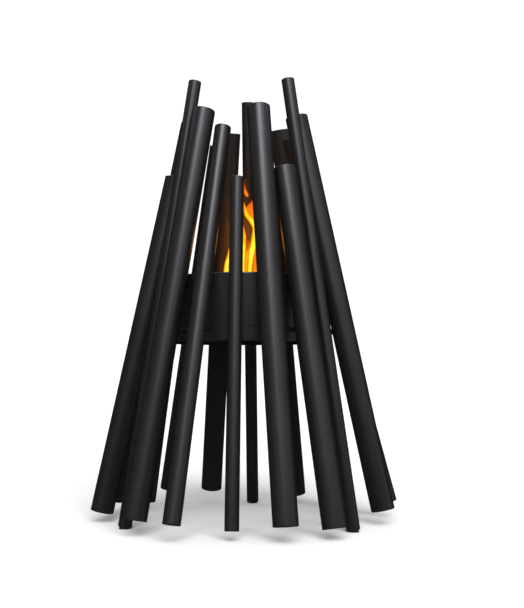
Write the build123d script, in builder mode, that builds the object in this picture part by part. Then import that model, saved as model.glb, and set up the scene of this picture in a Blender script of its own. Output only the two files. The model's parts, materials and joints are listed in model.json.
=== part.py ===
from build123d import *

import os
from collections import namedtuple
from math import cos, radians, sin, tan

# A free-standing fire pit: eighteen round steel tubes lean in against a drum, and three of them
# stand on the floor. A bioethanol burner with a sliding regulator sits in the drum.
# Millimetres, +Z up, floor at Z = 0. The ring of tubes has three-way symmetry about the drum's
# axis, so that axis stands a little off the centre of the footprint's bounding box.

os.makedirs("parts", exist_ok=True)

DRUM_AXIS_X = -4.69
DRUM_AXIS_Y = 4.316

# Drum
DRUM_R = 169.5
SHEET = 1.5
RIM_Z = 517.5
SEAM_Z = 409.0
DRUM_BOTTOM_Z = 377.0
SEAM_GAP = 0.8
RIM_BEAD_WIDTH = 5.0
RIM_BEAD_HEIGHT = 6.0
RIM_BEAD_ROUND = 2.4
TRAY_EDGE_ROUND = 2.5
LAP_RING_BOTTOM_Z = 393.0
LAP_RING_TOP_Z = 425.0
LAP_CLEARANCE = 0.1

# Tubes, in the order in which they go round one third of the ring. Each size has its own lean.
SMALL_R = 14.0
MEDIUM_R = 17.5
LARGE_R = 24.5
SMALL_LEAN = 9.0
MEDIUM_LEAN = 15.0
LARGE_LEAN = 12.0
TubeKind = namedtuple("TubeKind", "name radius lean length foot_z")
TUBE_KINDS = (
    TubeKind("leg_tube", SMALL_R, SMALL_LEAN, 953.0, 3.7),
    TubeKind("tall_large_tube", LARGE_R, LARGE_LEAN, 858.0, 31.6),
    TubeKind("medium_tube", MEDIUM_R, MEDIUM_LEAN, 826.0, 35.0),
    TubeKind("short_small_tube", SMALL_R, SMALL_LEAN, 703.0, 19.0),
    TubeKind("tall_large_tube", LARGE_R, LARGE_LEAN, 858.0, 31.6),
    TubeKind("short_large_tube", LARGE_R, LARGE_LEAN, 733.0, 21.4),
)
TUBE_COUNT = 18
FIRST_AZIMUTH = 210.0
AZIMUTH_STEP = 360.0 / TUBE_COUNT
TUBE_CLEARANCE = 0.5
TUBE_WALL = 1.5

# End caps and glides
CAP_THICKNESS = 3.0
CAP_EDGE_ROUND = 1.2
SPIGOT_DEPTH = 8.0
SPIGOT_WALL = 1.5
SPIGOT_CLEARANCE = 0.05
GLIDE_R = 11.0
GLIDE_PLUG_DEPTH = 12.0

# Joints between the tubes and the drum
TAB_THICKNESS = 4.0
TAB_BOTTOM_Z = 476.0
TAB_TOP_Z = 508.0
TAB_REACH = 15.0
STANDOFF_Z = 402.0
STANDOFF_R = 5.0
STANDOFF_REACH = 40.0
BOLT_R = 2.5
BOLT_HOLE_R = 2.55
BOLT_HEAD_R = 4.75
BOLT_HEAD_HEIGHT = 2.8
BOLT_HEAD_SEAT_SAG = 0.1
BOLT_DEPTH = 10.0
BORE_DEPTH = 11.0

# Deck
DECK_Z = 484.0
DECK_THICKNESS = 2.0
DECK_R = 167.0
DECK_HOLE_R = 68.0
BRACKET_COUNT = 6
BRACKET_LEG = 22.0
BRACKET_WIDTH = 24.0
BRACKET_OUTER_X = 166.0
DECK_SCREW_PCD_R = 155.0
SCREW_R = 2.0
SCREW_HEAD_R = 4.0
SCREW_HEAD_HEIGHT = 2.2
SCREW_LENGTH = 9.0

# Burner cup
CUP_R = 66.0
CUP_WALL = 1.5
CUP_BOTTOM_Z = 402.0
CUP_FLANGE_R = 76.0
CUP_FLANGE_THICKNESS = 2.0
CUP_EDGE_ROUND = 4.0
OPENING_R = 52.0
WICK_R = 63.0
WICK_TOP_Z = 468.0
SCREEN_THICKNESS = 1.0
SCREEN_HOLE_R = 3.0
SCREEN_HOLE_PITCH = 11.0
SCREEN_RINGS = 4

# Regulator
RAIL_HALF_LENGTH = 140.0
RAIL_INNER_Y = 78.0
RAIL_OUTER_Y = 86.0
RAIL_HEIGHT = 9.0
RAIL_WEB = 1.2
RAIL_STOP_LENGTH = 2.0
SHUTTER_OPEN_X = 77.0
SHUTTER_LENGTH = 60.0
SHUTTER_Z = 489.5
SHUTTER_THICKNESS = 2.0
GROOVE_CLEARANCE = 0.2
KNOB_X = 125.0
KNOB_R = 5.0
KNOB_STEM_R = 3.0
KNOB_STEM_HEIGHT = 7.0
KNOB_HEIGHT = 13.0
KNOB_ROUND = 1.5

TO_FOOTPRINT_CENTRE = Location((DRUM_AXIS_X, DRUM_AXIS_Y, 0))
DECK_TOP_Z = DECK_Z + DECK_THICKNESS

Tube = namedtuple("Tube", "kind azimuth name")


def tube_ring():
    tubes = []
    for place in range(TUBE_COUNT):
        kind = TUBE_KINDS[place % len(TUBE_KINDS)]
        azimuth = (FIRST_AZIMUTH + place * AZIMUTH_STEP) % 360.0
        tubes.append(Tube(kind, azimuth, f"{kind.name}_{azimuth:03.0f}"))
    return tubes


def radial_plane(azimuth, radius, height):
    """A plane that faces outward, at a place on the drum given by azimuth, radius and height."""
    outward = (cos(radians(azimuth)), sin(radians(azimuth)), 0)
    along_rim = (-sin(radians(azimuth)), cos(radians(azimuth)), 0)
    origin = (radius * outward[0], radius * outward[1], height)
    return Plane(origin=origin, x_dir=along_rim, z_dir=outward)


def tube_plane(tube, distance):
    """The plane square to a tube's axis, at a distance along the tube from its bottom end."""
    lean = radians(tube.kind.lean)
    outward = (cos(radians(tube.azimuth)), sin(radians(tube.azimuth)))
    along_rim = (-outward[1], outward[0], 0)
    rim_radius = DRUM_R + TUBE_CLEARANCE + tube.kind.radius / cos(lean)
    foot_radius = rim_radius + (RIM_Z - tube.kind.foot_z) * tan(lean)
    radius = foot_radius - distance * sin(lean)
    origin = (radius * outward[0], radius * outward[1], tube.kind.foot_z + distance * cos(lean))
    up_the_tube = (-sin(lean) * outward[0], -sin(lean) * outward[1], cos(lean))
    return Plane(origin=origin, x_dir=along_rim, z_dir=up_the_tube)


def flipped(plane):
    return Plane(origin=plane.origin, x_dir=plane.x_dir, z_dir=-plane.z_dir)


def write(piece, name):
    placed = piece.part.moved(TO_FOOTPRINT_CENTRE)
    placed.label = name
    export_step(placed, f"parts/{name}.step")


def ring(inner, outer, bottom, top):
    """Adds a ring, or a disc if inner is 0, about the drum's axis to the part being built."""
    with BuildSketch(Plane.XY.offset(bottom)) as outline:
        Circle(outer)
        if inner:
            Circle(inner, mode=Mode.SUBTRACT)
    extrude(outline.sketch, amount=top - bottom)


def radial_rods(tubes, radius, start, height, length, mode=Mode.ADD):
    """Adds or cuts round rods that point outward, one for each tube."""
    for tube in tubes:
        with BuildSketch(radial_plane(tube.azimuth, start, height)) as outline:
            Circle(radius)
        extrude(outline.sketch, amount=length, mode=mode)


def cut_back_to_tubes(tubes):
    """Cuts each tube's outside surface out of the part being built."""
    for tube in tubes:
        with BuildSketch(tube_plane(tube, 0)) as outline:
            Circle(tube.kind.radius)
        extrude(outline.sketch, amount=tube.kind.length, mode=Mode.SUBTRACT)


def make_tube(tube):
    """A tube between its end caps. A leg's glide fits inside it, so a leg has a cap only on top."""
    start = 0.0 if tube.kind.name == "leg_tube" else CAP_THICKNESS
    with BuildPart() as body:
        with BuildSketch(tube_plane(tube, start)):
            Circle(tube.kind.radius)
            Circle(tube.kind.radius - TUBE_WALL, mode=Mode.SUBTRACT)
        extrude(amount=tube.kind.length - CAP_THICKNESS - start)
    write(body, tube.name)


def make_caps(tubes, radius, name):
    """Round-edged caps for one size of tube, each with a spigot that goes down the bore."""
    outer_planes = []
    for tube in tubes:
        if tube.kind.radius != radius:
            continue
        outer_planes.append(tube_plane(tube, tube.kind.length))
        if tube.kind.name != "leg_tube":
            outer_planes.append(flipped(tube_plane(tube, 0)))

    def is_outer_edge(edge):
        near = CAP_THICKNESS / 2
        return any((edge.arc_center - plane.origin).length < near for plane in outer_planes)

    spigot_r = radius - TUBE_WALL - SPIGOT_CLEARANCE
    with BuildPart() as caps:
        for plane in outer_planes:
            with BuildSketch(plane.offset(-CAP_THICKNESS)):
                Circle(radius)
        extrude(amount=CAP_THICKNESS)
        for plane in outer_planes:
            with BuildSketch(flipped(plane.offset(-CAP_THICKNESS))):
                Circle(spigot_r)
                Circle(spigot_r - SPIGOT_WALL, mode=Mode.SUBTRACT)
        extrude(amount=SPIGOT_DEPTH)
        fillet(caps.edges().filter_by(GeomType.CIRCLE).filter_by(is_outer_edge), CAP_EDGE_ROUND)
    write(caps, name)


def make_glides(tubes):
    """Nylon plugs in the legs' bottom ends, cut level so that they lie flat on the floor."""
    with BuildPart() as glides:
        for tube in tubes:
            if tube.kind.name != "leg_tube":
                continue
            foot = tube_plane(tube, 0)
            with BuildSketch(foot):
                Circle(tube.kind.radius - TUBE_WALL - SPIGOT_CLEARANCE)
            extrude(amount=GLIDE_PLUG_DEPTH)
            with BuildSketch(flipped(foot)):
                Circle(GLIDE_R)
            extrude(amount=2 * tube.kind.foot_z)
        split(bisect_by=Plane.XY, keep=Keep.TOP)
    write(glides, "leg_glides")


def make_drum(tubes):
    with BuildPart() as shell:
        ring(DRUM_R - SHEET, DRUM_R, SEAM_Z, RIM_Z - RIM_BEAD_HEIGHT)
    write(shell, "drum_shell")

    with BuildPart() as rim:
        bead_x = DRUM_R - RIM_BEAD_WIDTH / 2
        bead_z = RIM_Z - RIM_BEAD_HEIGHT / 2
        with BuildSketch(Plane.XZ) as profile:
            with Locations((bead_x, bead_z)):
                Rectangle(RIM_BEAD_WIDTH, RIM_BEAD_HEIGHT)
            fillet(profile.vertices().group_by(Axis.Y)[-1], RIM_BEAD_ROUND)
        revolve(axis=Axis.Z)
    write(rim, "drum_rim")

    with BuildPart() as tray:
        ring(0, DRUM_R, DRUM_BOTTOM_Z, SEAM_Z - SEAM_GAP)
        fillet(tray.faces().sort_by(Axis.Z)[0].edges(), TRAY_EDGE_ROUND)
        with BuildSketch(Plane.XY.offset(DRUM_BOTTOM_Z + SHEET)):
            Circle(DRUM_R - SHEET)
        extrude(amount=SEAM_Z, mode=Mode.SUBTRACT)
        radial_rods(tubes, BOLT_HOLE_R, DRUM_R / 2, STANDOFF_Z, DRUM_R, mode=Mode.SUBTRACT)
    write(tray, "drum_tray")

    with BuildPart() as lap_ring:
        outer = DRUM_R - SHEET - LAP_CLEARANCE
        ring(outer - SHEET, outer, LAP_RING_BOTTOM_Z, LAP_RING_TOP_Z)
        radial_rods(tubes, BOLT_HOLE_R, DRUM_R / 2, STANDOFF_Z, DRUM_R, mode=Mode.SUBTRACT)
    write(lap_ring, "drum_lap_ring")


def make_tube_fixings(tubes):
    with BuildPart() as tabs:
        tab_height = TAB_TOP_Z - TAB_BOTTOM_Z
        for tube in tubes:
            with BuildSketch(radial_plane(tube.azimuth, DRUM_R, TAB_BOTTOM_Z + tab_height / 2)):
                Rectangle(TAB_THICKNESS, tab_height)
        extrude(amount=TAB_REACH)
        with BuildSketch(Plane.XY.offset(TAB_BOTTOM_Z)):
            Circle(DRUM_R)
        extrude(amount=tab_height, mode=Mode.SUBTRACT)
        cut_back_to_tubes(tubes)
    write(tabs, "upper_tabs")

    with BuildPart() as standoffs:
        radial_rods(tubes, STANDOFF_R, DRUM_R - SHEET, STANDOFF_Z, STANDOFF_REACH)
        with BuildSketch(Plane.XY.offset(DRUM_BOTTOM_Z)):
            Circle(DRUM_R)
        extrude(amount=SEAM_Z - DRUM_BOTTOM_Z, mode=Mode.SUBTRACT)
        cut_back_to_tubes(tubes)
        bore_length = SHEET + BORE_DEPTH
        radial_rods(tubes, BOLT_HOLE_R, DRUM_R - SHEET, STANDOFF_Z, bore_length, mode=Mode.SUBTRACT)
    write(standoffs, "standoffs")

    with BuildPart() as bolts:
        head_seat = DRUM_R - 2 * SHEET - LAP_CLEARANCE - BOLT_HEAD_HEIGHT
        radial_rods(tubes, BOLT_HEAD_R, head_seat - BOLT_HEAD_SEAT_SAG, STANDOFF_Z, BOLT_HEAD_HEIGHT)
        radial_rods(tubes, BOLT_R, head_seat, STANDOFF_Z, DRUM_R - head_seat + BOLT_DEPTH)
    write(bolts, "standoff_bolts")


def make_deck():
    with BuildPart() as deck:
        ring(DECK_HOLE_R, DECK_R, DECK_Z, DECK_TOP_Z)
        with Locations(Plane.XY.offset(DECK_TOP_Z)):
            with PolarLocations(DECK_SCREW_PCD_R, BRACKET_COUNT):
                Hole(SCREW_R)
    write(deck, "deck_plate")

    with BuildPart() as brackets:
        with BuildSketch(Plane.XZ):
            with BuildLine():
                Polyline(
                    (BRACKET_OUTER_X, DECK_Z),
                    (BRACKET_OUTER_X, DECK_Z - BRACKET_LEG),
                    (BRACKET_OUTER_X - SHEET, DECK_Z - BRACKET_LEG),
                    (BRACKET_OUTER_X - SHEET, DECK_Z - SHEET),
                    (BRACKET_OUTER_X - BRACKET_LEG, DECK_Z - SHEET),
                    (BRACKET_OUTER_X - BRACKET_LEG, DECK_Z),
                    close=True,
                )
            make_face()
        bracket = extrude(amount=BRACKET_WIDTH / 2, both=True, mode=Mode.PRIVATE)
        with PolarLocations(0, BRACKET_COUNT):
            add(bracket)
        with Locations(Plane.XY.offset(DECK_Z)):
            with PolarLocations(DECK_SCREW_PCD_R, BRACKET_COUNT):
                Hole(SCREW_R, depth=SHEET)
    write(brackets, "deck_brackets")

    with BuildPart() as screws:
        with BuildSketch(Plane.XY.offset(DECK_TOP_Z)):
            with PolarLocations(DECK_SCREW_PCD_R, BRACKET_COUNT):
                Circle(SCREW_HEAD_R)
        extrude(amount=SCREW_HEAD_HEIGHT)
        with BuildSketch(Plane.XY.offset(DECK_TOP_Z - SCREW_LENGTH)):
            with PolarLocations(DECK_SCREW_PCD_R, BRACKET_COUNT):
                Circle(SCREW_R)
        extrude(amount=SCREW_LENGTH)
    write(screws, "deck_screws")


def make_burner():
    with BuildPart() as cup:
        ring(0, CUP_R, CUP_BOTTOM_Z, DECK_TOP_Z)
        fillet(cup.faces().sort_by(Axis.Z)[0].edges(), CUP_EDGE_ROUND)
        ring(0, CUP_FLANGE_R, DECK_TOP_Z, DECK_TOP_Z + CUP_FLANGE_THICKNESS)
        with BuildSketch(Plane.XY.offset(CUP_BOTTOM_Z + CUP_WALL)):
            Circle(CUP_R - CUP_WALL)
        extrude(amount=DECK_TOP_Z, mode=Mode.SUBTRACT)
        flange_edges = cup.faces().sort_by(Axis.Z)[-1].edges().sort_by(SortBy.LENGTH)
        chamfer(flange_edges[-1], CUP_FLANGE_THICKNESS / 3)
    write(cup, "burner_cup")

    with BuildPart() as top_ring:
        ring(OPENING_R, CUP_R - CUP_WALL, DECK_TOP_Z - SHEET, DECK_TOP_Z)
    write(top_ring, "burner_top_ring")

    with BuildPart() as wick:
        ring(0, WICK_R, CUP_BOTTOM_Z + CUP_WALL, WICK_TOP_Z)
        fillet(wick.faces().sort_by(Axis.Z)[0].edges(), CUP_EDGE_ROUND)
    write(wick, "ceramic_wick")

    with BuildPart() as screen:
        ring(0, WICK_R, WICK_TOP_Z, WICK_TOP_Z + SCREEN_THICKNESS)
        with Locations(Plane.XY.offset(WICK_TOP_Z + SCREEN_THICKNESS)):
            Hole(SCREEN_HOLE_R)
            for screen_ring in range(1, SCREEN_RINGS + 1):
                with PolarLocations(screen_ring * SCREEN_HOLE_PITCH, 6 * screen_ring):
                    Hole(SCREEN_HOLE_R)
    write(screen, "flame_screen")


def make_rail(side, name):
    """A bar with a groove that opens toward the burner. side is 1 for +Y and -1 for -Y."""
    groove_bottom = SHUTTER_Z - GROOVE_CLEARANCE
    groove_top = SHUTTER_Z + SHUTTER_THICKNESS + GROOVE_CLEARANCE
    web_inner = RAIL_OUTER_Y - RAIL_WEB
    with BuildPart() as rail:
        with BuildSketch(Plane.YZ.offset(-RAIL_HALF_LENGTH)):
            with Locations((side * (RAIL_INNER_Y + RAIL_OUTER_Y) / 2, DECK_TOP_Z + RAIL_HEIGHT / 2)):
                Rectangle(RAIL_OUTER_Y - RAIL_INNER_Y, RAIL_HEIGHT)
        extrude(amount=2 * RAIL_HALF_LENGTH)
        with BuildSketch(Plane.YZ.offset(RAIL_STOP_LENGTH - RAIL_HALF_LENGTH)):
            with Locations((side * (RAIL_INNER_Y + web_inner) / 2, (groove_bottom + groove_top) / 2)):
                Rectangle(web_inner - RAIL_INNER_Y, groove_top - groove_bottom)
        extrude(amount=2 * (RAIL_HALF_LENGTH - RAIL_STOP_LENGTH), mode=Mode.SUBTRACT)
    write(rail, name)


def make_shutter(side, name):
    """Half of the regulator, shown open. side is 1 for the half on +X and -1 for the one on -X."""
    half_width = RAIL_OUTER_Y - RAIL_WEB - GROOVE_CLEARANCE
    with BuildPart() as shutter:
        with BuildSketch(Plane.XY.offset(SHUTTER_Z)):
            with Locations((side * (SHUTTER_OPEN_X + SHUTTER_LENGTH / 2), 0)):
                Rectangle(SHUTTER_LENGTH, 2 * half_width)
        extrude(amount=SHUTTER_THICKNESS)
    write(shutter, f"shutter_{name}")

    with BuildPart() as knob:
        stem_bottom = SHUTTER_Z + SHUTTER_THICKNESS
        with BuildSketch(Plane.XY.offset(stem_bottom)):
            with Locations((side * KNOB_X, 0)):
                Circle(KNOB_STEM_R)
        extrude(amount=KNOB_STEM_HEIGHT)
        with BuildSketch(Plane.XY.offset(stem_bottom + KNOB_STEM_HEIGHT)):
            with Locations((side * KNOB_X, 0)):
                Circle(KNOB_R)
        extrude(amount=KNOB_HEIGHT - KNOB_STEM_HEIGHT)
        fillet(knob.faces().sort_by(Axis.Z)[-1].edges(), KNOB_ROUND)
    write(knob, f"knob_{name}")


tubes = tube_ring()
for each in tubes:
    make_tube(each)
make_caps(tubes, SMALL_R, "small_tube_caps")
make_caps(tubes, MEDIUM_R, "medium_tube_caps")
make_caps(tubes, LARGE_R, "large_tube_caps")
make_glides(tubes)
make_drum(tubes)
make_tube_fixings(tubes)
make_deck()
make_burner()
make_rail(1, "rail_rear")
make_rail(-1, "rail_front")
make_shutter(1, "right")
make_shutter(-1, "left")
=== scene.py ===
import json
from math import cos, pi, radians, sin

import bpy
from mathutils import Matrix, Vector, noise


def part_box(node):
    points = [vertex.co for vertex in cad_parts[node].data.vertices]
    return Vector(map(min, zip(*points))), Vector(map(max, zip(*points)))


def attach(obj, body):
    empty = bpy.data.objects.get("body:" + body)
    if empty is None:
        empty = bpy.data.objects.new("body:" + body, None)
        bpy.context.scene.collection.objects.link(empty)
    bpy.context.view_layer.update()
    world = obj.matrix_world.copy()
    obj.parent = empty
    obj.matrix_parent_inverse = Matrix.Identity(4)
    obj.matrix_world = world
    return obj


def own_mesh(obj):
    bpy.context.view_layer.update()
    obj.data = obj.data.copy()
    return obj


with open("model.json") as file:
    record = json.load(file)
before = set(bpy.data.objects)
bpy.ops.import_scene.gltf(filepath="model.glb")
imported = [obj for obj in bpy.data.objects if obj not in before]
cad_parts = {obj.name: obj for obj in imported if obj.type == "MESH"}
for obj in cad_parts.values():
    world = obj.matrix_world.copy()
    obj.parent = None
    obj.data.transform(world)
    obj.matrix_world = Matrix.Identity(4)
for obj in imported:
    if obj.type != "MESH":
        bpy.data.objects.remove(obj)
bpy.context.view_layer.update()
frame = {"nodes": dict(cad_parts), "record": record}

# Where the drum stands, from the CAD
DRUM_LOW, DRUM_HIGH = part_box("drum_rim")
AXIS = (DRUM_LOW + DRUM_HIGH) / 2
RIM_Z = DRUM_HIGH.z

# Camera: how it stands to the drum's axis. At FRONT_AZIMUTH it would look along +Y.
FRONT_AZIMUTH = 1.5 * pi
CAMERA_AZIMUTH = radians(274.798)
CAMERA_DISTANCE = 2.1025
CAMERA_HEIGHT = 0.3255
CAMERA_PITCH = 0.0883
CAMERA_LENS = 57.09
CAMERA_SHIFT = (0.0305, -0.0363)
CAMERA_CLIP_END = 100.0

# Studio
WORLD_STRENGTH = 1.1
FLOOR_HALF_SIZE = 40.0
FLOOR_COLOUR = (0.48, 0.48, 0.48, 1.0)
SUN_STRENGTH = 7.5
SUN_ANGLE = 0.9
SUN_AZIMUTH = 8.0
SUN_ELEVATION = 34.0
# Softboxes that only show in glossy surfaces: name, azimuth from the camera's side toward its right,
# elevation, distance, width and height, and radiance
SOFTBOX_COLOUR = (1.0, 0.97, 1.06)
SOFTBOXES = (
    ("key_softbox", 0, 45, 3.0, (1.5, 1.3), 9.2),
    ("top_softbox", 38, 70, 3.0, (1.5, 1.3), 16.3),
    ("front_softbox", 0, 18, 3.0, (1.5, 1.3), 1.37),
    ("right_softbox", 38, 30, 3.0, (1.5, 2.6), 1.1),
    ("right_side_softbox", 75, 5, 3.0, (1.5, 2.4), 0.46),
    ("left_side_softbox", -38, 8, 3.0, (1.5, 2.4), 0.31),
    ("right_high_softbox", 105, 50, 3.0, (1.5, 1.3), 2.0),
    ("left_high_softbox", -105, 50, 3.0, (1.5, 1.3), 2.0),
    ("rear_softbox", 180, 48, 3.0, (1.8, 1.3), 3.0),
)

# Finishes: how fine each texture is, in grains to a metre, how deep its bumps are, in metres, and the
# colours and roughness between which it changes
NOISE_SPREAD = (0.3, 0.7)
SPECKLE_SCALE = 1400.0
SPECKLE_DEPTH = 0.00005
PEEL_SCALE = 420.0
PEEL_DEPTH = 0.00012
COAT_PATCH_SCALE = 14.0
COAT_STOPS = ((0.25, (0.0118, 0.0118, 0.0122)), (0.75, (0.0142, 0.0141, 0.0146)))
COAT_ROUGHNESS = (0.34, 0.38)
BRUSH_STRETCH = (8.0, 900.0, 900.0)
BRUSH_DEPTH = 0.00005
STEEL_CLOUD_SCALE = 30.0
STEEL_STOPS = ((0.3, (0.50, 0.48, 0.46)), (0.7, (0.58, 0.57, 0.55)))
STEEL_ROUGHNESS = (0.24, 0.42)
NYLON_GRAIN_SCALE = 900.0
NYLON_GRAIN_DEPTH = 0.00008
NYLON_STOPS = ((0.3, (0.013, 0.013, 0.013)), (0.7, (0.019, 0.019, 0.019)))
NYLON_ROUGHNESS = 0.62
FIBRE_SCALE = 500.0
FIBRE_DEPTH = 0.0006
SOOT_SCALE = 35.0
CERAMIC_STOPS = ((0.35, (0.16, 0.14, 0.12)), (0.6, (0.74, 0.71, 0.65)))
CERAMIC_ROUGHNESS = 0.95

# Flame
TONGUE_RINGS = 36
TONGUE_SIDES = 20
# Folds in a tongue's thickness: how deep they are for it, and how many to a metre
TONGUE_FOLD = 0.35
FOLDS_ALONG = 30.0
FOLDS_ACROSS = 60.0
# Cooling toward a tongue's edges and tip: the power of its rise, and the heat lost at the end
EDGE_COOLING = (2.5, 0.75)
TIP_COOLING = (1.6, 0.5)
# Swirls in the gas, and the heat that they take away or add
SWIRL_STRETCH = (1.0, 1.0, 0.35)
SWIRL_SCALE = 70.0
SWIRL_HEAT = (-0.22, 0.16)
# The heat at which the gas starts to show, and at which it is no longer clear
FADE_HEAT = (0.12, 0.42)
YELLOW_STOPS = (
    (0.0, (0.20, 0.02, 0.0)),
    (0.3, (0.85, 0.12, 0.005)),
    (0.52, (1.0, 0.42, 0.01)),
    (0.72, (1.0, 0.82, 0.015)),
    (1.0, (1.0, 0.93, 0.12)),
)
ORANGE_STOPS = (
    (0.0, (0.10, 0.015, 0.0)),
    (0.4, (0.60, 0.08, 0.003)),
    (0.7, (1.0, 0.22, 0.006)),
    (1.0, (1.0, 0.45, 0.01)),
)
RED_STOPS = (
    (0.0, (0.10, 0.015, 0.0)),
    (0.4, (0.50, 0.06, 0.003)),
    (0.75, (1.0, 0.19, 0.008)),
    (1.0, (1.0, 0.27, 0.012)),
)
HAZE_STOPS = (
    (0.0, (0.03, 0.012, 0.006)),
    (0.5, (0.07, 0.022, 0.005)),
    (1.0, (0.26, 0.075, 0.006)),
)
# Kinds of tongue: colours by heat, strength and opacity
FLAME_KINDS = {
    "yellow": (YELLOW_STOPS, 1.15, 1.0),
    "orange": (ORANGE_STOPS, 1.0, 1.0),
    "red": (RED_STOPS, 1.0, 1.0),
    "haze": (HAZE_STOPS, 1.0, 0.45),
}
FLAME_COLOUR = (1.0, 0.36, 0.07)
FLAME_LIGHT_RADIUS = 0.03
# Height, power in watts, and whether it shows in glossy surfaces
FLAME_LIGHTS = ((0.555, 0.9, False), (0.62, 0.6, False), (0.68, 0.24, False), (0.60, 0.12, True))
# Closing the regulator smothers the flame: it sinks through the screen, into the wick
# Tongues: name, kind, depth, turn, thickness for its width, and points along it
TONGUES = (
    ("flame_haze", "haze", 0.014, 0, 0.1, (
        (0.004, 0.480, 0.048), (0.004, 0.530, 0.060), (0.002, 0.590, 0.056),
        (-0.002, 0.650, 0.046), (-0.002, 0.700, 0.026), (0.004, 0.745, 0.004))),
    ("flame_skirt", "orange", 0.014, 0, 0.3, (
        (0.000, 0.480, 0.044), (-0.002, 0.530, 0.046), (0.006, 0.565, 0.030),
        (0.010, 0.592, 0.012), (0.010, 0.606, 0.001))),
    ("flame_right", "yellow", -0.006, 0, 0.5, (
        (0.014, 0.480, 0.007), (0.0135, 0.535, 0.0055), (0.018, 0.578, 0.0075), (0.0245, 0.612, 0.0075),
        (0.0250, 0.631, 0.0065), (0.016, 0.647, 0.0085), (0.006, 0.664, 0.007), (0.001, 0.686, 0.001))),
    ("flame_right_edge", "red", 0.002, 0, 0.5, (
        (0.028, 0.480, 0.010), (0.027, 0.535, 0.010), (0.029, 0.575, 0.009), (0.034, 0.615, 0.004),
        (0.036, 0.640, 0.001))),
    ("flame_middle", "yellow", -0.014, 0, 0.5, (
        (-0.003, 0.480, 0.009), (-0.003, 0.540, 0.0075), (-0.003, 0.570, 0.0085), (-0.003, 0.602, 0.011),
        (-0.004, 0.625, 0.008), (-0.004, 0.645, 0.001))),
    ("flame_crown", "red", 0.000, 0, 0.5, (
        (0.024, 0.638, 0.005), (0.019, 0.656, 0.013), (0.016, 0.671, 0.0145), (0.020, 0.686, 0.008),
        (0.024, 0.696, 0.001))),
    ("flame_rear", "yellow", 0.034, 0, 0.6, (
        (-0.015, 0.480, 0.012), (-0.014, 0.540, 0.011), (-0.017, 0.600, 0.009), (-0.013, 0.660, 0.006),
        (-0.016, 0.715, 0.001))),
    ("flame_wisp", "red", 0.004, 0, 0.5, (
        (0.009, 0.701, 0.002), (0.006, 0.708, 0.005), (0.003, 0.719, 0.0035), (0.002, 0.733, 0.001))),
    ("flame_left", "yellow", -0.002, 0, 0.5, (
        (-0.032, 0.480, 0.013), (-0.034, 0.535, 0.010), (-0.029, 0.575, 0.007), (-0.024, 0.612, 0.001))),
    ("flame_hidden_left", "yellow", 0.004, 40, 0.5, (
        (-0.014, 0.480, 0.016), (-0.015, 0.560, 0.013), (-0.012, 0.630, 0.012), (-0.017, 0.690, 0.006),
        (-0.014, 0.745, 0.001))),
    ("flame_back", "yellow", 0.022, 150, 0.5, (
        (0.010, 0.480, 0.018), (0.012, 0.540, 0.014), (0.006, 0.590, 0.010), (0.010, 0.640, 0.004),
        (0.014, 0.665, 0.001))),
    ("flame_hidden_right", "yellow", 0.006, -30, 0.5, (
        (0.040, 0.480, 0.012), (0.044, 0.540, 0.009), (0.040, 0.590, 0.007), (0.044, 0.640, 0.003),
        (0.046, 0.660, 0.001))),
)


def add_object(name, data):
    """A new object in the scene."""
    added = bpy.data.objects.new(name, data)
    bpy.context.scene.collection.objects.link(added)
    return added


def make_camera():
    camera = add_object("camera", bpy.data.cameras.new("camera"))
    camera.data.lens = CAMERA_LENS
    camera.data.shift_x, camera.data.shift_y = CAMERA_SHIFT
    camera.data.clip_end = CAMERA_CLIP_END
    camera.location = (
        AXIS.x + CAMERA_DISTANCE * cos(CAMERA_AZIMUTH),
        AXIS.y + CAMERA_DISTANCE * sin(CAMERA_AZIMUTH),
        CAMERA_HEIGHT,
    )
    camera.rotation_euler = (pi / 2 + CAMERA_PITCH, 0.0, CAMERA_AZIMUTH - FRONT_AZIMUTH)
    bpy.context.scene.camera = camera


def studio_direction(azimuth, elevation):
    """A unit vector from the object, with azimuth in degrees from the camera's side, toward its right."""
    turned = CAMERA_AZIMUTH + radians(azimuth)
    level = cos(radians(elevation))
    return Vector((level * cos(turned), level * sin(turned), sin(radians(elevation))))


def make_gloss_light(name, azimuth, elevation, distance, size, radiance):
    """A softbox that only shows in glossy surfaces, aimed at the middle of the object."""
    light = bpy.data.lights.new(name, "AREA")
    light.shape = "RECTANGLE"
    light.size, light.size_y = size
    light.energy = radiance * pi * size[0] * size[1]
    light.color = SOFTBOX_COLOUR
    lamp = add_object(name, light)
    middle = Vector((AXIS.x, AXIS.y, RIM_Z))
    toward = studio_direction(azimuth, elevation)
    lamp.location = middle + distance * toward
    lamp.rotation_euler = toward.to_track_quat("Z", "Y").to_euler()
    lamp.visible_diffuse = False
    lamp.visible_camera = False


def make_world():
    """White light from all round, which doesn't show in glossy surfaces."""
    scene = bpy.context.scene
    scene.view_settings.view_transform = "Standard"
    world = bpy.data.worlds.new("studio")
    world.use_nodes = True
    background = world.node_tree.nodes["Background"]
    background.inputs["Color"].default_value = (1.0, 1.0, 1.0, 1.0)
    background.inputs["Strength"].default_value = WORLD_STRENGTH
    world.cycles_visibility.glossy = False
    scene.world = world


def make_floor():
    mesh = bpy.data.meshes.new("floor")
    half = FLOOR_HALF_SIZE
    corners = [(-half, -half, 0), (half, -half, 0), (half, half, 0), (-half, half, 0)]
    mesh.from_pydata(corners, [], [(0, 1, 2, 3)])
    floor = add_object("floor", mesh)
    material = bpy.data.materials.new("floor_white")
    material.use_nodes = True
    shader = material.node_tree.nodes["Principled BSDF"]
    shader.inputs["Base Color"].default_value = FLOOR_COLOUR
    shader.inputs["Roughness"].default_value = 1.0
    shader.inputs["Specular IOR Level"].default_value = 0.0
    mesh.materials.append(material)
    floor.visible_glossy = False
    return floor


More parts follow.
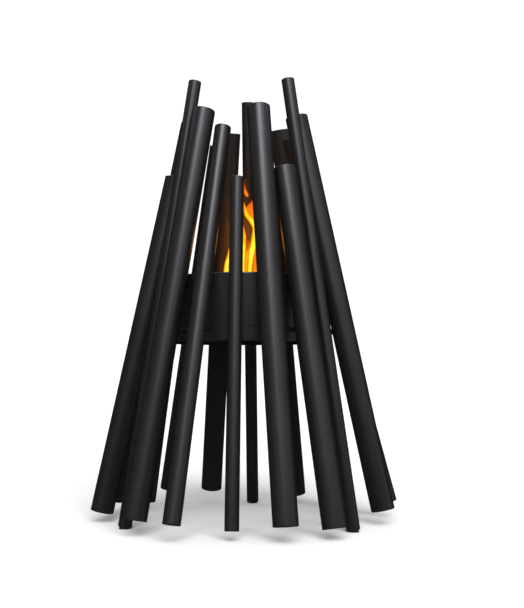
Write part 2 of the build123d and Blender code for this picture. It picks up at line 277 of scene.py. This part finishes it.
def make_sun(floor):
    """A sun that lights only the floor, where it casts the object's shadow."""
    sun = bpy.data.lights.new("sun", "SUN")
    sun.energy = SUN_STRENGTH
    sun.angle = SUN_ANGLE
    lamp = add_object("sun", sun)
    lamp.rotation_euler = studio_direction(SUN_AZIMUTH, SUN_ELEVATION).to_track_quat("Z", "Y").to_euler()
    lamp.visible_glossy = False
    lit_by_sun = bpy.data.collections.new("lit_by_sun")
    lit_by_sun.objects.link(floor)
    lamp.light_linking.receiver_collection = lit_by_sun


def make_studio():
    make_world()
    make_sun(make_floor())
    for softbox in SOFTBOXES:
        make_gloss_light(*softbox)


class Nodes:
    """Adds nodes to a material, one short call each."""

    def __init__(self, name):
        self.material = bpy.data.materials.new(name)
        self.material.use_nodes = True
        self.tree = self.material.node_tree
        self.shader = self.tree.nodes["Principled BSDF"]

    def add(self, kind, **values):
        node = self.tree.nodes.new(kind)
        for name, value in values.items():
            setattr(node, name, value)
        return node

    def link(self, source, target):
        self.tree.links.new(source, target)

    def feed(self, node, socket, value):
        """Links value into a socket if it is another node's output, and otherwise sets it."""
        if isinstance(value, bpy.types.NodeSocket):
            self.link(value, node.inputs[socket])
        else:
            node.inputs[socket].default_value = value

    def place(self, scale=(1.0, 1.0, 1.0)):
        coordinates = self.add("ShaderNodeTexCoord")
        mapping = self.add("ShaderNodeMapping")
        mapping.inputs["Scale"].default_value = scale
        self.link(coordinates.outputs["Object"], mapping.inputs["Vector"])
        return mapping.outputs["Vector"]

    def noise(self, place, scale, detail=2.0, roughness=0.5):
        texture = self.add("ShaderNodeTexNoise")
        self.link(place, texture.inputs["Vector"])
        texture.inputs["Scale"].default_value = scale
        texture.inputs["Detail"].default_value = detail
        texture.inputs["Roughness"].default_value = roughness
        return texture.outputs["Fac"]

    def maths(self, operation, first, second=0.0, third=0.0, clamp=False):
        node = self.add("ShaderNodeMath", operation=operation, use_clamp=clamp)
        self.feed(node, 0, first)
        self.feed(node, 1, second)
        self.feed(node, 2, third)
        return node.outputs[0]

    def rescale(self, value, low, high, new_low, new_high):
        node = self.add("ShaderNodeMapRange")
        sockets = ("Value", "From Min", "From Max", "To Min", "To Max")
        for socket, number in zip(sockets, (value, low, high, new_low, new_high)):
            self.feed(node, socket, number)
        return node.outputs["Result"]

    def ramp(self, value, stops):
        """stops are (position, linear colour) from 0 to 1."""
        node = self.add("ShaderNodeValToRGB")
        elements = node.color_ramp.elements
        while len(elements) < len(stops):
            elements.new(0.5)
        for element, (position, colour) in zip(elements, stops):
            element.position = position
            element.color = (*colour, 1.0)
        self.link(value, node.inputs["Fac"])
        return node.outputs["Color"]

    def bump(self, height, distance, strength=1.0, normal=None):
        node = self.add("ShaderNodeBump")
        node.inputs["Strength"].default_value = strength
        node.inputs["Distance"].default_value = distance
        self.link(height, node.inputs["Height"])
        if normal is not None:
            self.link(normal, node.inputs["Normal"])
        return node.outputs["Normal"]


def powder_coat():
    """Satin black powder coat: a fine orange-peel texture and slight changes of gloss."""
    nodes = Nodes("black_powder_coat")
    place = nodes.place()
    speckle = nodes.noise(place, SPECKLE_SCALE, detail=1.0)
    peel = nodes.noise(place, PEEL_SCALE)
    patches = nodes.noise(place, COAT_PATCH_SCALE, detail=3.0)
    nodes.link(nodes.ramp(patches, COAT_STOPS), nodes.shader.inputs["Base Color"])
    nodes.link(nodes.rescale(patches, *NOISE_SPREAD, *COAT_ROUGHNESS), nodes.shader.inputs["Roughness"])
    fine = nodes.bump(speckle, SPECKLE_DEPTH, 0.5)
    nodes.link(nodes.bump(peel, PEEL_DEPTH, 0.6, fine), nodes.shader.inputs["Normal"])
    return nodes.material


def brushed_steel():
    """Brushed stainless steel, with fine brush lines and faint clouds of darker, browner metal."""
    nodes = Nodes("stainless_steel")
    nodes.shader.inputs["Metallic"].default_value = 1.0
    lines = nodes.noise(nodes.place(BRUSH_STRETCH), 1.0, detail=4.0)
    clouds = nodes.noise(nodes.place(), STEEL_CLOUD_SCALE, detail=3.0)
    nodes.link(nodes.ramp(clouds, STEEL_STOPS), nodes.shader.inputs["Base Color"])
    nodes.link(nodes.rescale(lines, *NOISE_SPREAD, *STEEL_ROUGHNESS), nodes.shader.inputs["Roughness"])
    nodes.link(nodes.bump(lines, BRUSH_DEPTH, 0.5), nodes.shader.inputs["Normal"])
    return nodes.material


def matte_nylon():
    nodes = Nodes("black_nylon")
    grain = nodes.noise(nodes.place(), NYLON_GRAIN_SCALE, detail=3.0)
    nodes.link(nodes.ramp(grain, NYLON_STOPS), nodes.shader.inputs["Base Color"])
    nodes.shader.inputs["Roughness"].default_value = NYLON_ROUGHNESS
    nodes.link(nodes.bump(grain, NYLON_GRAIN_DEPTH, 0.6), nodes.shader.inputs["Normal"])
    return nodes.material


def ceramic_fibre():
    """Off-white fibre, with soot in patches."""
    nodes = Nodes("ceramic_fibre")
    place = nodes.place()
    fibres = nodes.noise(place, FIBRE_SCALE, detail=6.0, roughness=0.7)
    soot = nodes.noise(place, SOOT_SCALE, detail=4.0)
    nodes.link(nodes.ramp(soot, CERAMIC_STOPS), nodes.shader.inputs["Base Color"])
    nodes.shader.inputs["Roughness"].default_value = CERAMIC_ROUGHNESS
    nodes.link(nodes.bump(fibres, FIBRE_DEPTH, 0.8), nodes.shader.inputs["Normal"])
    return nodes.material


def dress_cad_nodes():
    """Gives each CAD node the finish that the record names for it."""
    finishes = {
        "black_powder_coat": powder_coat(),
        "stainless_steel": brushed_steel(),
        "black_nylon": matte_nylon(),
        "ceramic_fibre": ceramic_fibre(),
    }
    for entry in frame["record"]["subparts"]:
        node = frame["nodes"][entry["node"]]
        for slot in node.material_slots:
            slot.material = finishes[entry["material_slot"]]


def through(points, share):
    """A point, as a list of numbers, at a share from 0 to 1 along a Catmull-Rom curve through the points."""
    spans = len(points) - 1
    span = min(int(share * spans), spans - 1)
    t = share * spans - span
    near = (points[min(max(span + step, 0), spans)] for step in (-1, 0, 1, 2))
    place = []
    for before, start, end, after in zip(*near):
        slope = end - before
        bend = 2 * before - 5 * start + 4 * end - after
        twist = 3 * start - before - 3 * end + after
        place.append(start + 0.5 * (slope * t + bend * t * t + twist * t * t * t))
    return place


def tongue_points(points, depth, turn, thickness):
    """A tongue's surface points, ring by ring from its foot, and each one's place across and along it."""
    surface, places = [], []
    face_angle = CAMERA_AZIMUTH + pi / 2 + radians(turn)
    right = Vector((cos(face_angle), sin(face_angle), 0.0))
    away = Vector((-right.y, right.x, 0.0))
    for ring in range(TONGUE_RINGS + 1):
        share = ring / TONGUE_RINGS
        across, height, half_width = through(points, share)
        centre = Vector((AXIS.x, AXIS.y, height)) + right * across + away * depth
        for side in range(TONGUE_SIDES):
            angle = 2 * pi * side / TONGUE_SIDES
            out = cos(angle) * half_width
            swirl = noise.noise(centre * FOLDS_ALONG + Vector((out * FOLDS_ACROSS, 0.0, 0.0)))
            fold = 1.0 + TONGUE_FOLD * swirl
            surface.append(centre + right * out + away * sin(angle) * half_width * thickness * fold)
            places.append((0.5 + 0.5 * cos(angle), share))
    return surface, places


def tongue_faces():
    """The faces between a tongue's rings, and the two that close its ends."""
    faces = []
    for ring in range(TONGUE_RINGS):
        for side in range(TONGUE_SIDES):
            next_side = (side + 1) % TONGUE_SIDES
            low, high = ring * TONGUE_SIDES, (ring + 1) * TONGUE_SIDES
            faces.append((low + side, low + next_side, high + next_side, high + side))
    faces.append(tuple(reversed(range(TONGUE_SIDES))))
    faces.append(tuple(range(TONGUE_RINGS * TONGUE_SIDES, (TONGUE_RINGS + 1) * TONGUE_SIDES)))
    return faces


def make_tongue(name, points, depth, turn, thickness, material):
    """A closed flame tongue. Each point is its place to the right, its height and its half-width, in metres
    from the drum's axis and the floor. depth moves it away from the camera's side, and turn, in degrees,
    turns it about the drum's axis."""
    surface, places = tongue_points(points, depth, turn, thickness)
    mesh = bpy.data.meshes.new(name)
    mesh.from_pydata([tuple(point) for point in surface], [], tongue_faces())
    layer = mesh.uv_layers.new(name="along_and_across")
    for loop in mesh.loops:
        layer.data[loop.index].uv = places[loop.vertex_index]
    for face in mesh.polygons:
        face.use_smooth = True
    mesh.materials.append(material)
    tongue = add_object(name, mesh)
    tongue.visible_shadow = False
    tongue.visible_diffuse = False
    tongue.visible_glossy = False
    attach(tongue, "burner")
    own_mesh(tongue)


def flame_material(name, stops, strength, opacity):
    """Glowing gas: hottest along a tongue's middle and near its foot, and clear at its edges and tip."""
    nodes = Nodes(name)

    def cooling(distance, power, heat_lost):
        return nodes.maths("MULTIPLY", nodes.maths("POWER", distance, power), heat_lost)

    layer = nodes.add("ShaderNodeUVMap", uv_map="along_and_across")
    split = nodes.add("ShaderNodeSeparateXYZ")
    nodes.link(layer.outputs["UV"], split.inputs["Vector"])
    from_middle = nodes.maths("ABSOLUTE", nodes.maths("MULTIPLY_ADD", split.outputs["X"], 2.0, -1.0))
    swirl = nodes.noise(nodes.place(SWIRL_STRETCH), SWIRL_SCALE, detail=3.0)
    at_tip = cooling(split.outputs["Y"], *TIP_COOLING)
    at_edge = cooling(from_middle, *EDGE_COOLING)
    steady_heat = nodes.maths("SUBTRACT", nodes.maths("SUBTRACT", 1.0, at_edge), at_tip)
    change = nodes.rescale(swirl, *NOISE_SPREAD, *SWIRL_HEAT)
    heat = nodes.maths("ADD", steady_heat, change, clamp=True)
    nodes.link(nodes.ramp(heat, stops), nodes.shader.inputs["Emission Color"])
    nodes.shader.inputs["Emission Strength"].default_value = strength
    nodes.shader.inputs["Base Color"].default_value = (0.0, 0.0, 0.0, 1.0)
    nodes.shader.inputs["Specular IOR Level"].default_value = 0.0
    nodes.shader.inputs["Roughness"].default_value = 1.0
    fade = nodes.rescale(heat, *FADE_HEAT, 0.0, opacity)
    nodes.link(fade, nodes.shader.inputs["Alpha"])
    nodes.material.cycles.emission_sampling = "NONE"
    return nodes.material


def make_flame_light(height, power, glossy):
    light = bpy.data.lights.new("flame_light", "POINT")
    light.color = FLAME_COLOUR
    light.energy = power
    light.shadow_soft_size = FLAME_LIGHT_RADIUS
    lamp = add_object("flame_light", light)
    lamp.location = (AXIS.x, AXIS.y, height)
    lamp.visible_glossy = glossy
    lamp.visible_camera = False


def make_flame():
    materials = {kind: flame_material(f"flame_{kind}", *look) for kind, look in FLAME_KINDS.items()}
    for name, kind, depth, turn, thickness, points in TONGUES:
        make_tongue(name, points, depth, turn, thickness, materials[kind])
    for flame_light in FLAME_LIGHTS:
        make_flame_light(*flame_light)


make_camera()
make_studio()
dress_cad_nodes()
make_flame()
